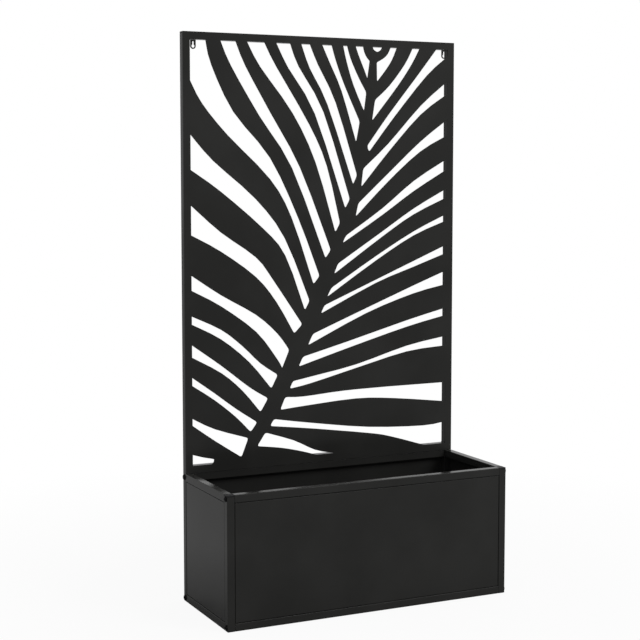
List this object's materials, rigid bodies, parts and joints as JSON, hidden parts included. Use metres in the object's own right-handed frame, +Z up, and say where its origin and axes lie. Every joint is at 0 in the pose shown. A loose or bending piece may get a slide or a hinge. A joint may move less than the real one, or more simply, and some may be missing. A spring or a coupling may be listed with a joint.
{
  "type": "planter with trellis",
  "caption": "Rectangular steel trough planter on a square tube frame, with a tall trellis screen at its back cut through in a palm leaf pattern.",
  "frame": {"origin": "on the floor, at the centre of the rectangle that the four posts stand on", "axes": "+X to the right as seen from the front, +Y towards the back where the trellis stands, +Z up"},
  "size_m": [0.8188, 0.31, 1.5],
  "materials": {
    "powder_coat": "near-black satin powder coat with a fine texture",
    "black_plastic": "matt moulded black plastic",
    "blackened_steel": "blackened steel, slightly shiny",
    "zinc_plate": "bright zinc plate"
  },
  "bodies": {
    "root": {"base_bar_1": "powder_coat", "base_bar_2": "powder_coat", "base_plate": "powder_coat", "front_foot_plug_left": "black_plastic", "front_foot_plug_right": "black_plastic", "front_lower_bolt_left": "blackened_steel", "front_lower_bolt_right": "blackened_steel", "front_lower_insert_left": "zinc_plate", "front_lower_insert_right": "zinc_plate", "front_lower_rail": "powder_coat", "front_panel": "powder_coat", "front_post_left": "powder_coat", "front_post_right": "powder_coat", "front_top_plug_left": "black_plastic", "front_top_plug_right": "black_plastic", "front_upper_bolt_left": "blackened_steel", "front_upper_bolt_right": "blackened_steel", "front_upper_insert_left": "zinc_plate", "front_upper_insert_right": "zinc_plate", "front_upper_rail": "powder_coat", "hanger_tab_left": "powder_coat", "hanger_tab_right": "powder_coat", "leaf_screen": "powder_coat", "left_end_lower_rail": "powder_coat", "left_end_panel": "powder_coat", "left_end_upper_rail": "powder_coat", "rear_foot_plug_left": "black_plastic", "rear_foot_plug_right": "black_plastic", "rear_lower_bolt_left": "blackened_steel", "rear_lower_bolt_right": "blackened_steel", "rear_lower_insert_left": "zinc_plate", "rear_lower_insert_right": "zinc_plate", "rear_lower_rail": "powder_coat", "rear_panel": "powder_coat", "rear_post_left": "powder_coat", "rear_post_right": "powder_coat", "rear_top_plug_left": "black_plastic", "rear_top_plug_right": "black_plastic", "rear_upper_bolt_left": "blackened_steel", "rear_upper_bolt_right": "blackened_steel", "rear_upper_insert_left": "zinc_plate", "rear_upper_insert_right": "zinc_plate", "rear_upper_rail": "powder_coat", "right_end_lower_rail": "powder_coat", "right_end_panel": "powder_coat", "right_end_upper_rail": "powder_coat", "trellis_lower_rail": "powder_coat", "trellis_top_rail": "powder_coat"}
  },
  "joints": []
}
